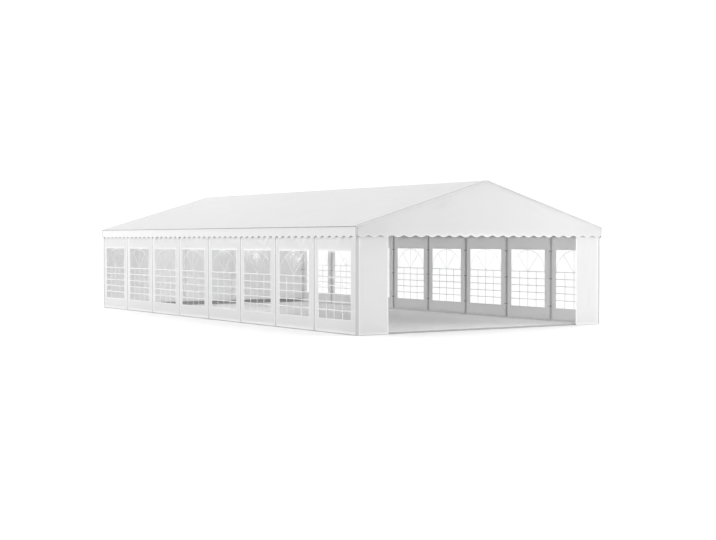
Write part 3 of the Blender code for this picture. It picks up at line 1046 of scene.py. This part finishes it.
def back_shade_skirt(sizes):
    """A near-black strip along the foot of the back wall, just inside its ground bar, in shallow waves:
    painted shade at the wall's foot.
    """
    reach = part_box("ground_bar_right")[0].x - 0.006
    u, v = grid(lines(-reach, reach, 0.05), (0.008, 0.04, 0.09, sizes.skirt))
    wave = 0.0015 * ripples(77, 0.4, 1.2)(u, v)
    points = join(u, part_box("ground_bar_back")[0].y - 0.006 + wave, v)
    add_piece("back_shade_skirt", [cloth_part(points, TAPE, (u, v), (0, -1, 0))], "dark_skirt")


class MARQUEE_OT_end_walls(bpy.types.Operator):
    """Hang the corner panels beside the open gable, the back wall, its zipped door curtain and a dark strip
    of painted shade at its foot
    """

    bl_idname = "marquee.end_walls"
    bl_label = "End walls"

    def execute(self, context):
        sizes = context.scene.marquee_sizes
        panels = (
            ("front_corner_left", "corner_panel_left", CORNER_FOLDS_LEFT),
            ("front_corner_right", "corner_panel_right", CORNER_FOLDS_RIGHT),
            ("back_wall_left", "back_panel_left", ()),
            ("back_wall_right", "back_panel_right", ()),
            ("back_door_curtain", "door_curtain", ()),
        )
        tapes = [end_panel(sizes, *panel, 900 + 10 * number) for number, panel in enumerate(panels)]
        add_piece("heading_shade_tapes_ends", tapes, "grey_tape")
        door_zips()
        back_shade_skirt(sizes)
        return {"FINISHED"}


def strap_part(path, outward):
    """A flat strap along a level path: the path drawn up by half its width each way."""
    rise = np.linspace(-WEBBING_WIDTH / 2, WEBBING_WIDTH / 2, 3)
    cut = (length_along(path)[:, None], rise)
    return cloth_part(path[:, None] + join(0, 0, rise), WEBBING, cut, outward)


def closing_strips(inset):
    """Strips that close the gaps between the wall panels at the posts, that far inside the panels; grey, they
    are painted shade in the gaps.
    """
    lap = 0.010
    across = np.linspace(-GAP_FRONT - lap, lap - GAP_BACK, 3)
    u, v = grid(across, np.linspace(0.03, VALANCE_TIP + 0.05, 30))
    return [
        cloth_part(join(side * (WALL_X - inset), line + u, v), TAPE, (u, v), (side, 0, 0))
        for side in (-1, 1)
        for line in POST_LINES[1:-1]
    ]


def corner_shade_flaps():
    """Flaps that close the upright corners of walls and valances, bent round them on the outside; the grey
    ones are painted shade of the corners.

    Seen from above each is a straight leg, a quarter of a circle and another straight leg. Those of the
    right valance are white.
    """
    bend = 0.012
    over_wall, over_valance = 0.0045, 0.0032
    turn = np.linspace(0, np.pi / 2, 7)
    flaps = (
        (WALL_X + over_wall, END_Y + over_wall, 0.055, WALL_BOTTOM + FOOT_GAP, VALANCE_TIP + 0.10),
        (VALANCE_X + over_valance, GABLE_Y + over_valance, 0.045, VALANCE_TIP + 0.045, VALANCE_TOP - 0.035),
    )
    grey = []
    white = []
    for far_x, far_y, reach, bottom, top in flaps:
        x = np.concatenate(([far_x, far_x], far_x - bend + bend * np.cos(turn), [far_x - reach]))
        y = np.concatenate(([far_y - reach, far_y - 0.03], far_y - bend + bend * np.sin(turn), [far_y]))
        run, v = grid(length_along(join(x, y)), lines(bottom, top, 0.1))
        for side in (-1, 1):
            for end in (-1, 1):
                points = join(side * x[:, None], end * y[:, None], v)
                # Grey flaps are painted shade of the corners; those of the right valance stay white.
                pile = white if side > 0 and far_x > VALANCE_X else grey
                pile.append(cloth_part(points, TAPE, (run, v), (side, end, 0)))
    return grey, white


def strap_path(side, line):
    """A strap's path seen from above, round the inside of a post, and the ways that its two studs look."""
    inset, reach = 0.0022, 0.075
    loop = POST_RADIUS + WEBBING
    post = side * HALF_SPAN
    wall = side * (WALL_X - inset)
    end = np.sign(line)
    corner = abs(line) > HALF_LENGTH - 0.1
    first = (wall, line - (end if corner else 1) * reach)
    last = (side * (HALF_SPAN - reach), end * (END_Y - inset)) if corner else (wall, line + reach)
    inner = np.arctan2(-end if corner else 0, -side)
    sweep = []
    for tip in (first, last):
        away = np.arctan2(tip[1] - line, tip[0] - post) - inner
        sweep.append(inner + 0.75 * ((away + np.pi) % TAU - np.pi))
    turn = np.linspace(*sweep, 11)
    arc = join(post + loop * np.cos(turn), line + loop * np.sin(turn))
    inward = ((-side, 0, 0), (0, -end, 0) if corner else (-side, 0, 0))
    return np.concatenate(([first], arc, [last])), inward


def post_straps():
    """Straps that tie two panels together round the inside of each post, a press stud at each end."""
    stud = ((0.007, 0), (0.0072, 0.0016), (0.005, 0.0030), (0.002, 0.0034))
    straps = []
    studs = []
    for side in (-1, 1):
        for line in POST_LINES:
            path, inward = strap_path(side, line)
            for height in (0.42, 1.22, 2.02):
                level = join(path[:, 0], path[:, 1], height)
                straps.append(strap_part(level, (side, 0, 0)))
                for tip, way in zip(level[[0, -1]], inward):
                    studs.append(turned_part(stud, tip + 0.0008 * np.array(way), way))
    return straps, studs


def hangers():
    """Loops that hang the panels from the eave rails and gable beams: most of a circle round the tube."""
    loop = RAIL_RADIUS + WEBBING
    reach = WALL_X - HALF_SPAN - 0.0018
    turn = np.linspace(np.radians(-62), np.radians(-330), 22)
    away = np.concatenate(([reach, reach], loop * np.cos(turn), [reach]))[:, None]
    rise = np.concatenate(([-0.10, -0.045], loop * np.sin(turn), [0.012]))[:, None]
    across = np.array((-0.5, 0.5)) * WEBBING_WIDTH
    cut = (np.arange(len(away))[:, None] * 0.006, across)
    parts = []
    for side in (-1, 1):
        for line in POST_LINES[:-1]:
            for share in (0.16, 0.39, 0.61, 0.84):
                points = join(side * (HALF_SPAN + away), line + share * BAY + across, EAVE_Z + rise)
                parts.append(cloth_part(points, WEBBING, cut, (side, 0, 0)))
    front = (3.25, 3.55, 3.85)
    back = (0.3, 0.75, 1.2, 1.7, 2.2, 2.7, 3.2, 3.7)
    for end, places in ((-1, front), (1, back)):
        for place in (*np.negative(places), *places):
            points = join(place + across, end * (HALF_LENGTH + away), BEAM_Z + rise)
            parts.append(cloth_part(points, WEBBING, cut, (0, end, 0)))
    return parts


def bolts():
    """A washer and a round-headed bolt under each end of each rail sleeve."""
    washer = ((0.011, 0), (0.011, 0.0015))
    bolt = (*washer, (0.0075, 0.0016), (0.0072, 0.005), (0.004, 0.0072), (0.002, 0.0075))
    sleeve = RAIL_RADIUS + 0.0065
    parts = []
    for x, z in RAILS:
        away = unit((-0.5 * np.sign(x), 0, -1))
        for line in POST_LINES:
            for shift in (-0.055, 0.055):
                if abs(line + shift) < HALF_LENGTH:
                    centre = np.array((x, line + shift, z)) + away * (sleeve - 0.0012)
                    parts.append(turned_part(bolt, centre, away))
    return parts


def pegs():
    """A round-headed steel peg in each hole of the foot plates."""
    shank = ((0.0055, 0.0006), (0.0055, 0.0062))
    peg = (*shank, (0.013, 0.0063), (0.013, 0.009), (0.009, 0.012), (0.003, 0.013))
    out, aside = 0.052, 0.048
    door_post = middle("gable_post_left", 0)
    spots = []
    for side in (-1, 1):
        for shift in (-aside, aside):
            spots += [(side * (HALF_SPAN + out), line + shift) for line in POST_LINES]
            spots.append((side * door_post + shift, HALF_LENGTH + out))
    return [turned_part(peg, (x, y, 0), (0, 0, 1)) for x, y in spots]


def caps():
    """Plastic caps in the open ends of the rails."""
    rim = ((RAIL_RADIUS, 0), (RAIL_RADIUS, 0.0015))
    cap = (*rim, (0.8 * RAIL_RADIUS, 0.003), (0.2 * RAIL_RADIUS, 0.0034))
    return [
        turned_part(cap, (x, end * (RIDGE_HIGH.y + 0.0002), z), (0, end, 0), 16)
        for x, z in RAILS
        for end in (-1, 1)
    ]


class MARQUEE_OT_fixings(bpy.types.Operator):
    """Add the closing strips, corner flaps, post straps, hangers, press studs, bolts, pegs and end caps"""

    bl_idname = "marquee.fixings"
    bl_label = "Fixings"

    def execute(self, context):
        straps, studs = post_straps()
        # The grey strips are painted shade in the gaps between panels; the white linings face the inside.
        add_piece("closing_strips", closing_strips(0.0026), "grey_webbing")
        add_piece("strip_linings", closing_strips(0.0042), "roof_cloth")
        grey, white = corner_shade_flaps()
        # Grey corner flaps: painted shade of the corners.
        add_piece("corner_shade_flaps", grey, "grey_tape")
        add_piece("corner_flaps_white", white, "wall_cloth")
        add_piece("post_straps", straps, "grey_webbing")
        add_piece("press_studs", studs, "galvanised_tube")
        add_piece("rail_hangers", hangers(), "grey_webbing")
        add_piece("sleeve_bolts", bolts(), "galvanised_tube")
        add_piece("ground_pegs", pegs(), "galvanised_tube")
        add_piece("rail_end_caps", caps(), "black_plastic")
        return {"FINISHED"}


class MARQUEE_OT_steel(bpy.types.Operator):
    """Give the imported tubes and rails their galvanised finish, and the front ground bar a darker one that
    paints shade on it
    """

    bl_idname = "marquee.steel"
    bl_label = "Steel finish"

    def execute(self, context):
        tubes = ("frame_", "eave_rail", "purlin", "ridge_rail", "ground_bar", "gable_beam", "gable_post")
        for name, node in NODES.items():
            if name.startswith(tubes):
                # The front ground bar is darkened as painted shade.
                finish = "weathered_tube" if name == "ground_bar_front" else "galvanised_tube"
                for slot in node.material_slots:
                    slot.material = material(finish)
        return {"FINISHED"}


def add_floor():
    """A square floor far larger than the view."""
    reach = 400.0
    mesh = bpy.data.meshes.new("floor")
    corners = [(-reach, -reach, 0), (reach, -reach, 0), (reach, reach, 0), (-reach, reach, 0)]
    mesh.from_pydata(corners, [], [(0, 1, 2, 3)])
    mesh.materials.append(material("studio_floor"))
    add_object("floor", mesh)


def add_sky(strength):
    """An even white light from all round."""
    world = bpy.data.worlds.new("studio")
    world.use_nodes = True
    background = world.node_tree.nodes["Background"]
    background.inputs["Color"].default_value = (1, 1, 1, 1)
    background.inputs["Strength"].default_value = strength
    bpy.context.scene.world = world


def add_lamp(name, place, target, size, power):
    """A rectangular lamp that faces a point."""
    light = bpy.data.lights.new(name, "AREA")
    light.shape = "RECTANGLE"
    light.size, light.size_y = size
    light.energy = power
    lamp = add_object(name, light)
    aim = np.subtract(target, place)
    lamp.location = place
    lamp.visible_camera = False
    tip = np.arctan2(np.hypot(aim[0], aim[1]), -aim[2])
    lamp.rotation_euler = (tip, 0, np.arctan2(aim[1], aim[0]) - np.pi / 2)
    return lamp


def add_camera(setting):
    """The camera, set by where it stands, how far it turns from +Y and how far it looks down."""
    lens = bpy.data.cameras.new("camera")
    lens.sensor_width = 36.0
    lens.lens = setting.lens
    lens.clip_end = 1000.0
    camera = add_object("camera", lens)
    camera.location = setting.eye
    camera.rotation_euler = (np.pi / 2 - setting.tilt, 0, -setting.heading)
    bpy.context.scene.camera = camera


class MARQUEE_OT_stage(bpy.types.Operator):
    """Lay the floor, light the tent and place the camera"""

    bl_idname = "marquee.stage"
    bl_label = "Stage"

    def execute(self, context):
        setting = context.scene.marquee_stage
        context.scene.view_settings.view_transform = "Standard"
        add_floor()
        add_sky(setting.sky)
        key = add_lamp("key_lamp", (9, -17, 5), (2, -8, 1.5), (6, 5), setting.key)
        key.visible_glossy = False
        add_lamp("fill_lamp", (-16, 17, 5.3), (-4, 0, 2), (6, 6), setting.fill)
        add_lamp("top_lamp", (0, 0.01, 16), (0, 0, 0), (14, 22), setting.top)
        add_lamp("back_lamp", (7, 22, 7.5), (0, 7, 3.5), (4, 4), setting.back)
        add_lamp("inner_lamp", (-2.2, 4.6, 1.9), (4, 5.6, 0.3), (4.8, 0.7), setting.inner)
        add_camera(setting)
        return {"FINISHED"}


MAKERS = (
    MARQUEE_OT_roof,
    MARQUEE_OT_valances,
    MARQUEE_OT_side_walls,
    MARQUEE_OT_windows,
    MARQUEE_OT_end_walls,
    MARQUEE_OT_fixings,
    MARQUEE_OT_steel,
    MARQUEE_OT_stage,
)


class MARQUEE_PT_sidebar(bpy.types.Panel):
    """The marquee's operators and settings in the 3D view's sidebar"""

    bl_label = "Marquee"
    bl_space_type = "VIEW_3D"
    bl_region_type = "UI"
    bl_category = "Marquee"

    def draw(self, context):
        for group in ("marquee_sizes", "marquee_finishes", "marquee_stage"):
            settings = getattr(context.scene, group)
            box = self.layout.box()
            for name in settings.__annotations__:
                box.prop(settings, name)
        for maker in MAKERS:
            self.layout.operator(maker.bl_idname)


GROUPS = {
    "marquee_sizes": MarqueeSizes,
    "marquee_finishes": MarqueeFinishes,
    "marquee_stage": MarqueeStage,
}


def register():
    for cls in (*GROUPS.values(), *MAKERS, MARQUEE_PT_sidebar):
        bpy.utils.register_class(cls)
    for name, group in GROUPS.items():
        setattr(bpy.types.Scene, name, PointerProperty(type=group))


def unregister():
    for name in GROUPS:
        delattr(bpy.types.Scene, name)
    for cls in (MARQUEE_PT_sidebar, *reversed(MAKERS), *reversed(GROUPS.values())):
        bpy.utils.unregister_class(cls)


def main():
    """Makes everything, in order."""
    register()
    for maker in MAKERS:
        getattr(bpy.ops.marquee, maker.bl_idname.split(".")[1])()


if __name__ == "__main__":
    main()
